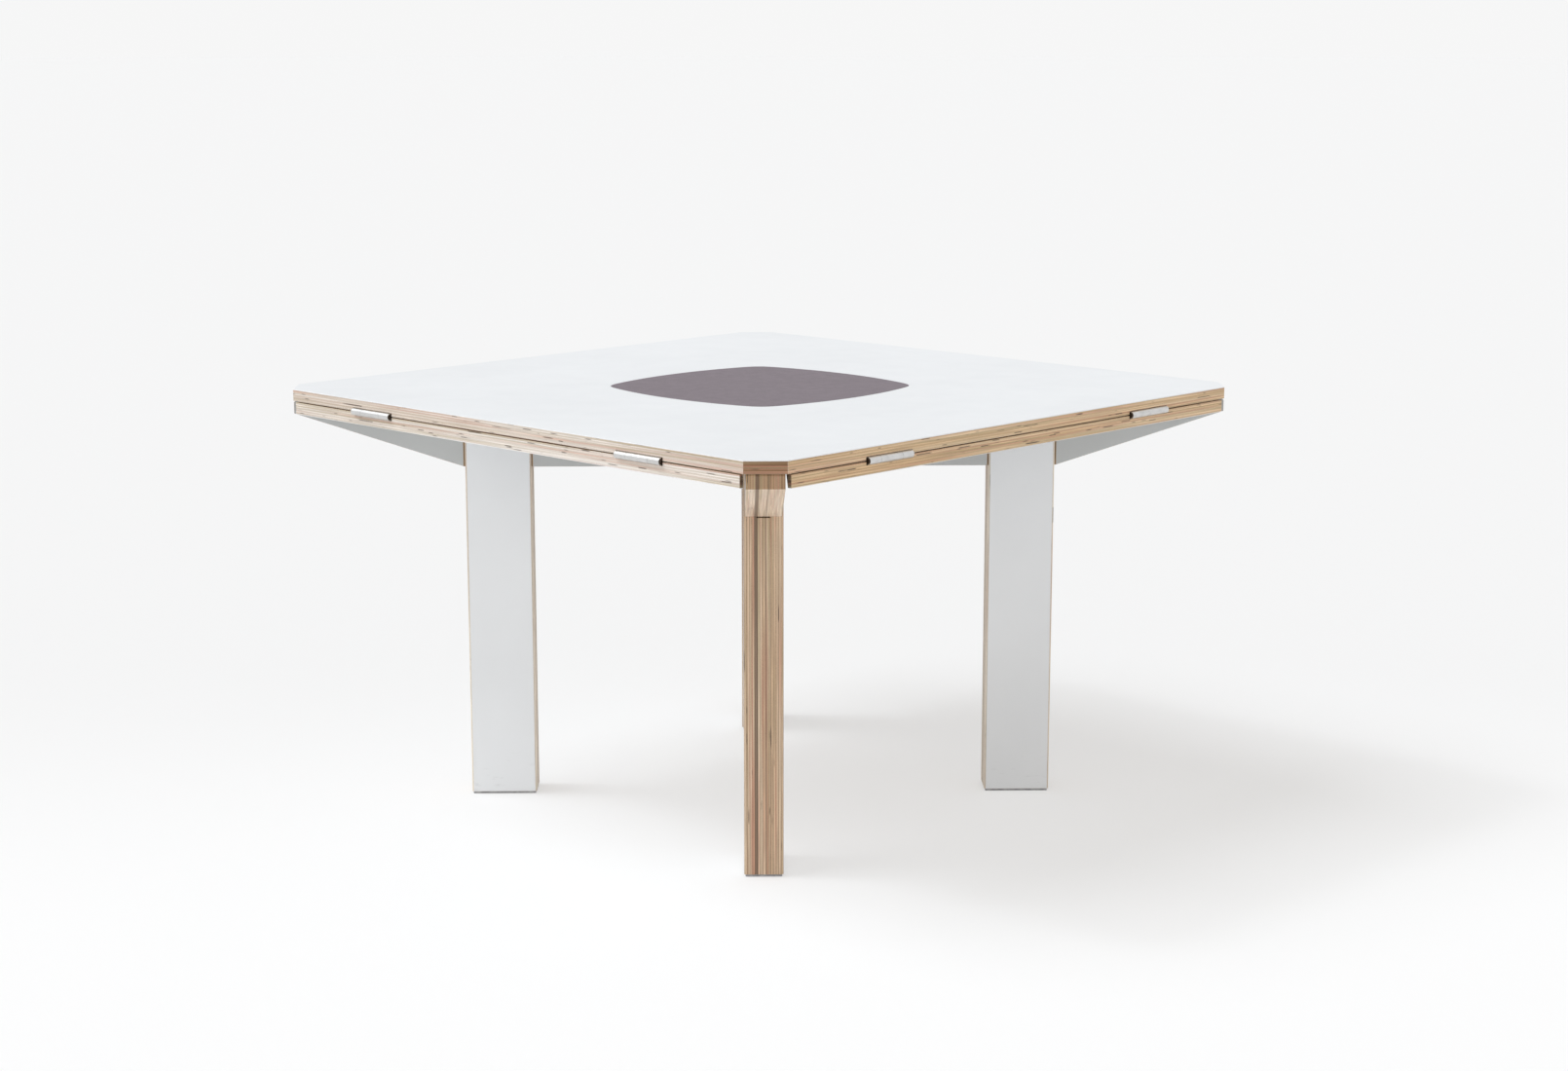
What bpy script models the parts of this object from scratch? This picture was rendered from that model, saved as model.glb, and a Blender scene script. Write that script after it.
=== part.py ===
"""Extending table: a square plywood top on two crossing diagonal rails with four board legs.

Four leaves are folded under the top, between the arms of the rails. Each is hinged along one
edge of the top and swings down and out by half a turn, until it lies level with the top.
Units are metres, +Z is up, and the origin is on the floor under the middle of the table.
"""

import math

import bmesh
import bpy
from mathutils import Matrix, Vector

# Overall sizes
TABLE_HEIGHT = 0.735
TOP_SIDE = 1.200
TOP_CORE = 0.0193
TOP_LAMINATE = 0.001
LEAF_THICKNESS = 0.0205
SEAM = 0.002

# Frame of three-board rails and legs
CORE_BOARD = 0.021
RAIL_CHEEK = 0.0187
LEG_CHEEK = 0.0212
RAIL_DEPTH = 0.118
LEG_OUTER = 0.519
LEG_WIDTH = 0.116
BOARD_CHAMFER = 0.0025
FOOT_HEIGHT = 0.004
FOOT_INSET = 0.002

# Leaves
LEAF_SIDE_GAP = 0.001
LEAF_BLUNT = 0.007
LEAF_TIP_WIDTH = 0.066

# Centre inlay, a square with bulging sides and rounded corners
INLAY_HALF = 0.222
INLAY_RISE = 0.032
INLAY_ROUNDING = 0.2
INLAY_THICKNESS = 0.003
INLAY_POINTS = 72

# Hinges
HINGE_OFFSET = 0.330
HINGE_LENGTH = 0.100
HINGE_MIDDLE = 0.050
BARREL_RADIUS = 0.006
HINGE_AXIS_OUT = 0.0008
PLATE_THICKNESS = 0.002
PLATE_REACH = 0.035
PIN_RADIUS = 0.003
PIN_HEAD_RADIUS = 0.0048
PIN_HEAD = 0.0012

# Centre pivot
BOLT_RADIUS = 0.006
BOLT_HEAD_RADIUS = 0.015
BOLT_HEAD = 0.005
BOLT_END = 0.003
WASHER_RADIUS = 0.018
WASHER = 0.0025
NUT_RADIUS = 0.011
NUT = 0.010

# Catch magnets
MAGNET_RADIUS = 0.010
MAGNET_HEIGHT = 0.004
MAGNET_FROM_TIP = 0.040

# Clearances
GLUE_LINE = 0.0003
SLIDE_FIT = 0.0003
HOLE_FIT = 0.0004
BARREL_FIT = 0.0008
KNUCKLE_FIT = 0.0004

# Facets of the round pieces
BARREL_SIDES = 16
BOLT_SIDES = 16
NUT_SIDES = 6
SHARP_ANGLE = math.radians(35)
CUT_OVER = 0.005

# Levels and distances that follow from the sizes above
TOP_HALF = TOP_SIDE / 2
RAIL_THICKNESS = CORE_BOARD + 2 * (GLUE_LINE + RAIL_CHEEK)
LEG_THICKNESS = CORE_BOARD + 2 * (GLUE_LINE + LEG_CHEEK)
CORNER_CUT = max(RAIL_THICKNESS, LEG_THICKNESS) + 2 * LEAF_SIDE_GAP
CORNER_REACH = TOP_SIDE / math.sqrt(2) - CORNER_CUT / 2
CORE_TOP = TABLE_HEIGHT - TOP_LAMINATE - GLUE_LINE
TOP_UNDER = CORE_TOP - TOP_CORE
LEAF_TOP = TOP_UNDER - SEAM
LEAF_UNDER = LEAF_TOP - LEAF_THICKNESS
HINGE_LEVEL = TOP_UNDER - SEAM / 2
HINGE_EDGE = TOP_HALF + HINGE_AXIS_OUT
RAIL_TOP = TOP_UNDER - SLIDE_FIT
RAIL_UNDER = RAIL_TOP - RAIL_DEPTH
RAIL_MIDDLE = RAIL_TOP - RAIL_DEPTH / 2
LEG_INNER = LEG_OUTER - LEG_WIDTH
LEG_FOOT = FOOT_HEIGHT + GLUE_LINE
INLAY_SEAT = TABLE_HEIGHT - INLAY_THICKNESS - GLUE_LINE
BOLT_TOP = INLAY_SEAT - SLIDE_FIT
BOLT_SEAT = BOLT_TOP - BOLT_HEAD
WASHER_TOP = RAIL_UNDER - SLIDE_FIT
NUT_TOP = WASHER_TOP - WASHER - SLIDE_FIT
LEAF_TIP = CORNER_CUT / math.sqrt(2) + LEAF_TIP_WIDTH / 2

SIDES = ("front", "right", "back", "left")
RAILS = {
    "a": (math.radians(45), ("front_left", "back_right")),
    "b": (math.radians(135), ("front_right", "back_left")),
}


def clear_scene():
    for old in list(bpy.data.objects):
        bpy.data.objects.remove(old, do_unlink=True)


def new_collection(name):
    made = bpy.data.collections.new(name)
    bpy.context.scene.collection.children.link(made)
    return made


def new_material(name, color, roughness, metallic=0.0):
    made = bpy.data.materials.new(name)
    made.use_nodes = True
    made.diffuse_color = (*color, 1)
    shader = made.node_tree.nodes["Principled BSDF"]
    shader.inputs["Base Color"].default_value = (*color, 1)
    shader.inputs["Roughness"].default_value = roughness
    shader.inputs["Metallic"].default_value = metallic
    return made


clear_scene()
TABLE = new_collection("extending_table")
CUTTERS = new_collection("cutters")
PLYWOOD = new_material("birch_plywood", (0.56, 0.42, 0.29), 0.55)
WHITE = new_material("white_laminate", (0.83, 0.84, 0.85), 0.38)
GREY = new_material("grey_laminate", (0.42, 0.43, 0.42), 0.42)
DARK = new_material("dark_inlay", (0.26, 0.22, 0.25), 0.5)
STEEL = new_material("hinge_steel", (0.62, 0.62, 0.63), 0.28, 1.0)
PAD = new_material("foot_felt", (0.35, 0.35, 0.36), 0.9)
MAGNET = new_material("magnet_steel", (0.5, 0.5, 0.52), 0.35, 1.0)


def add_empty(name, location, yaw):
    made = bpy.data.objects.new(name, None)
    made.empty_display_size = 0.05
    made.location = location
    made.rotation_euler = (0, 0, yaw)
    TABLE.objects.link(made)
    return made


def add_part(name, mesh, material, parent=None, location=(0, 0, 0)):
    part_mesh = mesh.copy()
    part_mesh.materials.clear()
    part_mesh.materials.append(material)
    made = bpy.data.objects.new(name, part_mesh)
    made.parent = parent
    made.location = location
    TABLE.objects.link(made)
    return made


def add_cutter(name, mesh, parent=None, location=(0, 0, 0)):
    made = bpy.data.objects.new(name, mesh)
    made.parent = parent
    made.location = location
    made.hide_render = True
    made.display_type = "WIRE"
    CUTTERS.objects.link(made)
    return made


def boolean(target, tool, operation="DIFFERENCE"):
    modifier = target.modifiers.new(f"{operation.lower()}_{tool.name}", "BOOLEAN")
    modifier.operation = operation
    modifier.solver = "EXACT"
    modifier.object = tool


def baked(source):
    """The mesh of an object with its modifiers applied."""
    bpy.context.view_layer.update()
    graph = bpy.context.evaluated_depsgraph_get()
    return bpy.data.meshes.new_from_object(source.evaluated_get(graph))


def smooth(mesh):
    """Smooth shading over the facets of a round piece, with its real edges kept sharp."""
    mesh.shade_smooth()
    mesh.set_sharp_from_angle(angle=SHARP_ANGLE)
    return mesh


def mesh_from(bm, name):
    mesh = bpy.data.meshes.new(name)
    bm.to_mesh(mesh)
    bm.free()
    return mesh


def box(name, low, high):
    """A box between two opposite corners."""
    bm = bmesh.new()
    bmesh.ops.create_cube(bm, size=1)
    low, high = Vector(low), Vector(high)
    size = Matrix.Diagonal((*(high - low), 1))
    bmesh.ops.transform(bm, matrix=Matrix.Translation((low + high) / 2) @ size, verts=bm.verts)
    return mesh_from(bm, name)


def cylinder(name, radius, start, end, sides, along="Z"):
    """A round bar on the local axis, between two places along it."""
    bm = bmesh.new()
    bmesh.ops.create_cone(
        bm, cap_ends=True, segments=sides, radius1=radius, radius2=radius, depth=end - start
    )
    move = Matrix.Translation((0, 0, (start + end) / 2))
    turn = Matrix.Rotation(math.radians(90), 4, "Y") if along == "X" else Matrix()
    bmesh.ops.transform(bm, matrix=turn @ move, verts=bm.verts)
    return smooth(mesh_from(bm, name))


def extruded(name, outline, thickness, upright=False):
    """A flat outline with an even thickness about its plane, level or standing on the X axis."""
    curve = bpy.data.curves.new(name, "CURVE")
    curve.dimensions = "2D"
    curve.fill_mode = "BOTH"
    curve.extrude = thickness / 2
    spline = curve.splines.new("POLY")
    spline.points.add(len(outline) - 1)
    for point, (across, along) in zip(spline.points, outline):
        point.co = (across, along, 0, 1)
    spline.use_cyclic_u = True
    guide = bpy.data.objects.new(name, curve)
    CUTTERS.objects.link(guide)
    mesh = baked(guide)
    bpy.data.objects.remove(guide, do_unlink=True)
    bm = bmesh.new()
    bm.from_mesh(mesh)
    bmesh.ops.remove_doubles(bm, verts=bm.verts, dist=1e-6)
    bmesh.ops.dissolve_limit(bm, angle_limit=1e-4, verts=bm.verts, edges=bm.edges)
    bmesh.ops.recalc_face_normals(bm, faces=bm.faces)
    if upright:
        turn = Matrix.Rotation(math.radians(90), 4, "X")
        bmesh.ops.transform(bm, matrix=turn, verts=bm.verts)
    return mesh_from(bm, name)


def turned(name, profile, sides):
    """A solid of revolution about Z from (radius, height) points, given from top to bottom."""
    curve = bpy.data.meshes.new(name)
    guide = bpy.data.objects.new(name, curve)
    bm = bmesh.new()
    points = [bm.verts.new((radius, 0, height)) for radius, height in profile]
    for first, second in zip(points, points[1:]):
        bm.edges.new((first, second))
    bm.to_mesh(curve)
    bm.free()
    screw = guide.modifiers.new("turn", "SCREW")
    screw.steps = sides
    screw.render_steps = sides
    screw.use_merge_vertices = True
    screw.merge_threshold = 0.00001
    CUTTERS.objects.link(guide)
    mesh = baked(guide)
    bpy.data.objects.remove(guide, do_unlink=True)
    return smooth(mesh)


def chamfer_upright_edges(part, wanted):
    """A chamfer on the upright edges whose two ends both pass the test."""
    bm = bmesh.new()
    bm.from_mesh(part.data)
    weight = bm.edges.layers.float.new("bevel_weight_edge")
    for edge in bm.edges:
        upright = abs(edge.verts[0].co.z - edge.verts[1].co.z) > BOARD_CHAMFER
        if upright and all(wanted(corner.co) for corner in edge.verts):
            edge[weight] = 1.0
    bm.to_mesh(part.data)
    bm.free()
    bevel = part.modifiers.new("chamfer", "BEVEL")
    bevel.limit_method = "WEIGHT"
    bevel.width = BOARD_CHAMFER
    bevel.segments = 1


def cut_square(half, cut):
    """A square with its corners cut off square to the diagonals, the cuts being this wide."""
    short = half - cut / math.sqrt(2)
    quarter = [(half, -short), (half, short)]
    turns = [Matrix.Rotation(math.radians(90) * i, 2) for i in range(4)]
    return [tuple(turn @ Vector(point)) for turn in turns for point in quarter]


def inlay_outline(grow):
    """A square whose sides are arcs, its corners rounded, made larger all round by this much."""
    half = INLAY_HALF + grow
    arc = ((half - INLAY_RISE) ** 2 + INLAY_RISE**2) / (2 * INLAY_RISE)
    centre = half - arc
    outline = []
    for i in range(INLAY_POINTS):
        angle = 2 * math.pi * i / INLAY_POINTS
        c, s = math.cos(angle), math.sin(angle)
        near_corner = max(INLAY_ROUNDING - abs(abs(c) - abs(s)), 0)
        out = max(abs(c), abs(s)) + near_corner**3 / (6 * INLAY_ROUNDING**2)
        reach = centre * out + math.sqrt(arc**2 - centre**2 * (1 - out**2))
        outline.append((c * reach, s * reach))
    return outline


def leaf_outline():
    """The front leaf, with its hinge edge on the local X axis and its tip towards +Y."""
    blunt = TOP_HALF - CORNER_CUT / math.sqrt(2) - LEAF_BLUNT
    depth = TOP_HALF - LEAF_TIP
    half_tip = LEAF_TIP_WIDTH / 2
    right = [(blunt, 0), (blunt, LEAF_BLUNT), (half_tip, depth)]
    left = [(-x, y) for x, y in reversed(right)]
    return right + left


def rail_outline():
    """A rail from the side: level between the legs, tapering up along the arms to the leaves."""
    right = [
        (LEG_OUTER, RAIL_UNDER),
        (CORNER_REACH, LEAF_UNDER),
        (CORNER_REACH, RAIL_TOP),
    ]
    return right + [(-x, z) for x, z in reversed(right)]


def hinge_pockets(hinge, n):
    """Cutters for the barrel and for the two plates, let into the top and into the leaf."""
    half = HINGE_LENGTH / 2
    ends = half + PIN_HEAD + 2 * KNUCKLE_FIT + SLIDE_FIT
    barrel = cylinder("barrel_pocket", BARREL_RADIUS + BARREL_FIT, -ends, ends, BARREL_SIDES, "X")
    deep = SLIDE_FIT / 2 + PLATE_THICKNESS + SLIDE_FIT
    mortise = box(
        "plate_mortise",
        (-half - SLIDE_FIT, 0, -deep),
        (half + SLIDE_FIT, PLATE_REACH + SLIDE_FIT, deep),
    )
    return [
        add_cutter(f"{n}_barrel_pocket", barrel, hinge),
        add_cutter(f"{n}_plate_mortise", mortise, hinge),
    ]


def hinge_half(name, lower):
    """One plate with its knuckles: two end knuckles on the top's plate, the middle on the leaf's."""
    half = HINGE_LENGTH / 2
    middle = HINGE_MIDDLE / 2
    wall = (PIN_RADIUS + HOLE_FIT + BARREL_RADIUS) / 2
    near = SLIDE_FIT / 2
    far = near + PLATE_THICKNESS
    low, high = (-far, -near) if lower else (near, far)
    plate = add_cutter(name, box(name, (-half, wall, low), (half, PLATE_REACH, high)))
    barrel = cylinder(name + "_barrel", BARREL_RADIUS, -half, half, BARREL_SIDES, "X")
    boolean(plate, add_cutter(name + "_barrel", barrel), "UNION")
    over = half + CUT_OVER
    bore = cylinder(name + "_bore", PIN_RADIUS + HOLE_FIT, -over, over, BARREL_SIDES, "X")
    boolean(plate, add_cutter(name + "_bore", bore))
    reach = BARREL_RADIUS + BARREL_FIT
    inner, outer = middle - KNUCKLE_FIT / 2, middle + KNUCKLE_FIT / 2
    spans = [(-over, -inner), (inner, over)] if lower else [(-outer, outer)]
    for i, (start, end) in enumerate(spans):
        gap = box(name + "_gap", (start, -reach, -reach), (end, reach, reach))
        boolean(plate, add_cutter(f"{name}_gap_{i}", gap))
    return smooth(baked(plate))


def pin_mesh():
    """A round pin with a low head at each end, along the local X axis."""
    end = HINGE_LENGTH / 2 + KNUCKLE_FIT
    tip = end + PIN_HEAD
    profile = [
        (0, tip),
        (PIN_HEAD_RADIUS, tip),
        (PIN_HEAD_RADIUS, end),
        (PIN_RADIUS, end),
        (PIN_RADIUS, -end),
        (PIN_HEAD_RADIUS, -end),
        (PIN_HEAD_RADIUS, -tip),
        (0, -tip),
    ]
    mesh = turned("pin", profile, BARREL_SIDES)
    mesh.transform(Matrix.Rotation(math.radians(90), 4, "Y"))
    return mesh


def build_hinges(axes):
    """Two hinges along each edge. Returns the pocket cutters of each side."""
    top_mesh = hinge_half("top_half", lower=False)
    leaf_mesh = hinge_half("leaf_half", lower=True)
    pin = pin_mesh()
    pockets = {}
    for side, axis in axes.items():
        pockets[side] = []
        for n, along in enumerate((-HINGE_OFFSET, HINGE_OFFSET), 1):
            name = f"hinge_{side}_{n}"
            seat = add_empty(f"{name}_seat", (along, 0, 0), 0.0)
            seat.parent = axis
            add_part(f"{name}_top_plate", top_mesh, STEEL, seat)
            add_part(f"{name}_leaf_plate", leaf_mesh, STEEL, seat)
            add_part(f"{name}_pin", pin, STEEL, seat)
            pockets[side] += hinge_pockets(seat, name)
    return pockets


def build_leaves(axes, pockets):
    for side, axis in axes.items():
        mesh = extruded("leaf", leaf_outline(), LEAF_THICKNESS)
        level = (LEAF_TOP + LEAF_UNDER) / 2 - HINGE_LEVEL
        leaf = add_part(f"leaf_{side}", mesh, PLYWOOD, axis, (0, HINGE_AXIS_OUT, level))
        for cutter in pockets[side]:
            boolean(leaf, cutter)


def build_magnets(axes):
    """A round magnet over each leaf's tip, let into the underside of the top."""
    low = LEAF_TOP + SLIDE_FIT
    high = low + MAGNET_HEIGHT
    mesh = cylinder("magnet", MAGNET_RADIUS, low, high, BOLT_SIDES)
    socket = cylinder(
        "magnet_socket",
        MAGNET_RADIUS + SLIDE_FIT,
        TOP_UNDER - CUT_OVER,
        high + GLUE_LINE,
        BOLT_SIDES,
    )
    inward = TOP_HALF + HINGE_AXIS_OUT - LEAF_TIP - MAGNET_FROM_TIP
    place = (0, inward, -HINGE_LEVEL)
    sockets = []
    for side, axis in axes.items():
        add_part(f"catch_magnet_{side}", mesh, MAGNET, axis, place)
        sockets.append(add_cutter(f"magnet_socket_{side}", socket, axis, place))
    return sockets


def build_top(cutters):
    """The plywood panel, its laminate face and the dark inlay let into both."""
    outline = cut_square(TOP_HALF, CORNER_CUT)
    panel_mesh = extruded("top_panel", outline, TOP_CORE)
    panel = add_part("top_panel", panel_mesh, PLYWOOD, None, (0, 0, (CORE_TOP + TOP_UNDER) / 2))
    face_mesh = extruded("top_laminate", outline, TOP_LAMINATE)
    face = add_part("top_laminate", face_mesh, WHITE, None, (0, 0, TABLE_HEIGHT - TOP_LAMINATE / 2))
    inlay_mesh = extruded("centre_inlay", inlay_outline(0), INLAY_THICKNESS)
    add_part("centre_inlay", inlay_mesh, DARK, None, (0, 0, TABLE_HEIGHT - INLAY_THICKNESS / 2))
    recess_height = TABLE_HEIGHT + CUT_OVER - INLAY_SEAT
    recess = add_cutter(
        "inlay_recess",
        extruded("inlay_recess", inlay_outline(SLIDE_FIT), recess_height),
        None,
        (0, 0, INLAY_SEAT + recess_height / 2),
    )
    head = cylinder(
        "bolt_head_recess",
        BOLT_HEAD_RADIUS + HOLE_FIT,
        BOLT_SEAT - SLIDE_FIT,
        TABLE_HEIGHT + CUT_OVER,
        BOLT_SIDES,
    )
    boolean(face, recess)
    boolean(panel, recess)
    boolean(panel, add_cutter("bolt_head_recess", head))
    for cutter in cutters:
        boolean(panel, cutter)


def build_pivot():
    """A bolt through the top and the crossing rails, with its washer and nut under them."""
    end = NUT_TOP - NUT - BOLT_END
    profile = [
        (0, BOLT_TOP),
        (BOLT_HEAD_RADIUS, BOLT_TOP),
        (BOLT_HEAD_RADIUS, BOLT_SEAT),
        (BOLT_RADIUS, BOLT_SEAT),
        (BOLT_RADIUS, end),
        (0, end),
    ]
    add_part("pivot_bolt", turned("pivot_bolt", profile, BOLT_SIDES), STEEL)
    hole = cylinder(
        "bolt_hole",
        BOLT_RADIUS + HOLE_FIT,
        end - CUT_OVER,
        TABLE_HEIGHT + CUT_OVER,
        BOLT_SIDES,
    )
    hole = add_cutter("bolt_hole", hole)
    washer = cylinder("pivot_washer", WASHER_RADIUS, WASHER_TOP - WASHER, WASHER_TOP, BOLT_SIDES)
    boolean(add_part("pivot_washer", washer, STEEL), hole)
    nut = cylinder("pivot_nut", NUT_RADIUS, NUT_TOP - NUT, NUT_TOP, NUT_SIDES)
    boolean(add_part("pivot_nut", nut, STEEL), hole)
    return hole


def crossing_cutter(name, rail, upper):
    """The notch of the half-lap where the rails cross, from above or from below."""
    half = RAIL_THICKNESS / 2 + SLIDE_FIT
    if upper:
        low, high = RAIL_MIDDLE - SLIDE_FIT / 2, RAIL_TOP + CUT_OVER
    else:
        low, high = RAIL_UNDER - CUT_OVER, RAIL_MIDDLE + SLIDE_FIT / 2
    notch = box(name, (-half, -RAIL_THICKNESS, low), (half, RAIL_THICKNESS, high))
    return add_cutter(name, notch, rail)


def leg_housing(name, rail, side):
    """The cut on one face of a rail, from leg to leg, that leaves its core bare between the arms.

    It opens outwards by the boards' chamfer, which eases the arms' inner ends.
    """
    end = LEG_OUTER + GLUE_LINE
    inner = CORE_BOARD / 2
    face = RAIL_THICKNESS / 2
    flare = BOARD_CHAMFER + CUT_OVER
    right = [
        (end, inner),
        (end, face - BOARD_CHAMFER),
        (end + flare, face + CUT_OVER),
    ]
    outline = right + [(-x, y) for x, y in reversed(right)]
    outline = [(x, side * y) for x, y in outline]
    mesh = extruded(name, outline, RAIL_DEPTH + 2 * CUT_OVER)
    return add_cutter(name, mesh, rail, (0, 0, RAIL_MIDDLE))


def build_rail(letter, rail, bolt_hole):
    """A rail with its two arms, housed for the legs, and the two cheeks between its legs."""
    notch = crossing_cutter(f"crossing_{letter}", rail, upper=letter == "a")
    mesh = extruded("cross_rail", rail_outline(), RAIL_THICKNESS, upright=True)
    beam = add_part(f"cross_rail_{letter}", mesh, GREY, rail)
    for n, side in enumerate((-1, 1), 1):
        boolean(beam, leg_housing(f"leg_housing_{letter}{n}", rail, side))
    boolean(beam, notch)
    boolean(beam, bolt_hole)
    reach = LEG_INNER - GLUE_LINE
    near = CORE_BOARD / 2 + GLUE_LINE
    far = near + RAIL_CHEEK
    for n, side in enumerate((-1, 1), 1):
        across = sorted((side * near, side * far))
        mesh = box("rail_cheek", (-reach, across[0], RAIL_UNDER), (reach, across[1], RAIL_TOP))
        cheek = add_part(f"rail_cheek_{letter}{n}", mesh, GREY, rail)
        chamfer_upright_edges(cheek, lambda corner, s=side: s * corner.y > (near + far) / 2)
        boolean(cheek, notch)


def build_leg(corner, rail, sign):
    """A leg's core board under the rail, its two full-height cheeks and its foot pad."""
    along = sorted((sign * LEG_INNER, sign * LEG_OUTER))
    half = CORE_BOARD / 2
    core = box("leg_core", (along[0], -half, LEG_FOOT), (along[1], half, RAIL_UNDER - GLUE_LINE))
    add_part(f"leg_core_{corner}", core, PLYWOOD, rail)
    near = half + GLUE_LINE
    far = near + LEG_CHEEK
    for n, face in enumerate((-1, 1), 1):
        across = sorted((face * near, face * far))
        mesh = box("leg_cheek", (along[0], across[0], LEG_FOOT), (along[1], across[1], RAIL_TOP))
        cheek = add_part(f"leg_cheek_{corner}_{n}", mesh, WHITE, rail)
        chamfer_upright_edges(cheek, lambda place, f=face: f * place.y > (near + far) / 2)
    inset = far - FOOT_INSET
    pad = box(
        "foot_pad",
        (along[0] + FOOT_INSET, -inset, 0),
        (along[1] - FOOT_INSET, inset, FOOT_HEIGHT),
    )
    add_part(f"foot_pad_{corner}", pad, PAD, rail)


def build_frame(bolt_hole):
    for letter, (yaw, corners) in RAILS.items():
        rail = add_empty(f"rail_{letter}_line", (0, 0, 0), yaw)
        build_rail(letter, rail, bolt_hole)
        for sign, corner in zip((-1, 1), corners):
            build_leg(corner, rail, sign)


def build_table():
    axes = {}
    for i, side in enumerate(SIDES):
        yaw = math.radians(90) * i
        place = Matrix.Rotation(yaw, 3, "Z") @ Vector((0, -HINGE_EDGE, HINGE_LEVEL))
        axes[side] = add_empty(f"leaf_{side}_axis", place, yaw)
    pockets = build_hinges(axes)
    build_leaves(axes, pockets)
    sockets = build_magnets(axes)
    bolt_hole = build_pivot()
    build_top([bolt_hole, *sockets, *(cutter for side in SIDES for cutter in pockets[side])])
    build_frame(bolt_hole)


build_table()
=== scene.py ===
import math

import bmesh
import bpy
from mathutils import Matrix, Vector


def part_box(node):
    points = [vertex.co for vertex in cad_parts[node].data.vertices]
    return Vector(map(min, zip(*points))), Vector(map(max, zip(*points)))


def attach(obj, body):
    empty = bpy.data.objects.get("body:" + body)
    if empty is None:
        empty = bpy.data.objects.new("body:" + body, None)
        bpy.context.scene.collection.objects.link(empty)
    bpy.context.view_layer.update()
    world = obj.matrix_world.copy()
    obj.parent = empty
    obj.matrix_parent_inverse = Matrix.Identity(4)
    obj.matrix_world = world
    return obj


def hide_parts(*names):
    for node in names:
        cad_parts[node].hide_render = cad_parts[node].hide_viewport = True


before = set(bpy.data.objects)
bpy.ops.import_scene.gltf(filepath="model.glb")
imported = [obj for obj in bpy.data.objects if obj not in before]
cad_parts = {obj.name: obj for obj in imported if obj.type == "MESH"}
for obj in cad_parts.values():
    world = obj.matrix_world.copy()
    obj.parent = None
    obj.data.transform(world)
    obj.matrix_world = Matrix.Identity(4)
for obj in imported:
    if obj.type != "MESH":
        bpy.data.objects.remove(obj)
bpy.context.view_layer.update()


# Foot pads: a strip of pressed grey wool felt under each leg. It is glued on and set back from
# the leg's edges, so that only a thin line of it shows at the floor.
LEG_RAIL = {"front_left": "a", "back_right": "a", "front_right": "b", "back_left": "b"}
PAD_EDGE = 0.0012
MERGE = 0.00001
FLAT, SHARP = math.radians(0.5), math.radians(20)
FELT_DARK = (0.29, 0.29, 0.295, 1)
FELT_PALE = (0.47, 0.47, 0.475, 1)


def put(tree, kind, inputs=(), **settings):
    """A node in a finish, each input set to a value or wired to another node's result."""
    made = tree.nodes.new("ShaderNode" + kind)
    for key, value in settings.items():
        setattr(made, key, value)
    for key, value in dict(inputs).items():
        if isinstance(value, bpy.types.NodeSocket):
            tree.links.new(value, made.inputs[key])
        else:
            made.inputs[key].default_value = value
    return made


def reckon(tree, operation, *values):
    """One step of arithmetic."""
    return put(tree, "Math", enumerate(values), operation=operation).outputs[0]


def tint(tree, share, first, second, way="MIX"):
    """A colour mixed from two others."""
    mix = put(tree, "Mix", {0: share, 6: first, 7: second}, data_type="RGBA", blend_type=way)
    return mix.outputs[2]


def patches(tree, place, size, detail=4.0):
    """Soft irregular patches between 0 and 1."""
    return put(tree, "TexNoise", {"Vector": place, "Scale": size, "Detail": detail}).outputs[0]


def drawn_out(tree, place, x, y, z):
    """The place scaled on each axis, so that a pattern on it is drawn out along the small ones."""
    return put(tree, "VectorMath", {0: place, 1: (x, y, z)}, operation="MULTIPLY").outputs[0]


def ramp(tree, value, low, high, first=0.0, last=1.0):
    """A smooth rise from first to last while the value goes from low to high."""
    inputs = {"Value": value, "From Min": low, "From Max": high, "To Min": first, "To Max": last}
    return put(tree, "MapRange", inputs, interpolation_type="SMOOTHSTEP").outputs[0]


def new_finish(name):
    """An empty finish, with its nodes, its shader and the place on the piece."""
    made = bpy.data.materials.new(name)
    made.use_nodes = True
    tree = made.node_tree
    return made, tree, tree.nodes["Principled BSDF"], put(tree, "TexCoord").outputs["Object"]


def dress(tree, shader, colour, roughness, height, depth, strength=1.0):
    """Wires a finish's colour, roughness and surface relief into its shader."""
    tree.links.new(colour, shader.inputs["Base Color"])
    tree.links.new(roughness, shader.inputs["Roughness"])
    relief = put(tree, "Bump", {"Strength": strength, "Distance": depth, "Height": height})
    tree.links.new(relief.outputs[0], shader.inputs["Normal"])


def grey_felt():
    """Pressed wool: fine fibres over soft clumps in two greys."""
    made, tree, shader, place = new_finish("grey_felt")
    fibres = patches(tree, drawn_out(tree, place, 900, 900, 500), 1.0, 6.0)
    clumps = patches(tree, place, 120.0)
    colour = tint(tree, ramp(tree, clumps, 0.3, 0.7), FELT_DARK, FELT_PALE)
    colour = tint(tree, ramp(tree, fibres, 0.35, 0.75, 0.0, 0.5), colour, FELT_DARK)
    dress(tree, shader, colour, ramp(tree, fibres, 0, 1, 0.85, 1.0), fibres, 0.0006)
    shader.inputs["Sheen Weight"].default_value = 0.3
    return made


def whole_faces(mesh, merge=MERGE):
    """The shape of a mesh, its loose triangles merged back into whole flat faces."""
    shape = bmesh.new()
    shape.from_mesh(mesh)
    bmesh.ops.remove_doubles(shape, verts=shape.verts, dist=merge)
    bmesh.ops.dissolve_limit(shape, angle_limit=FLAT, verts=shape.verts, edges=shape.edges)
    return shape


def taken_from(node):
    """The shape of one of the table's solids."""
    return whole_faces(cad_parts[node].data)


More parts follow.
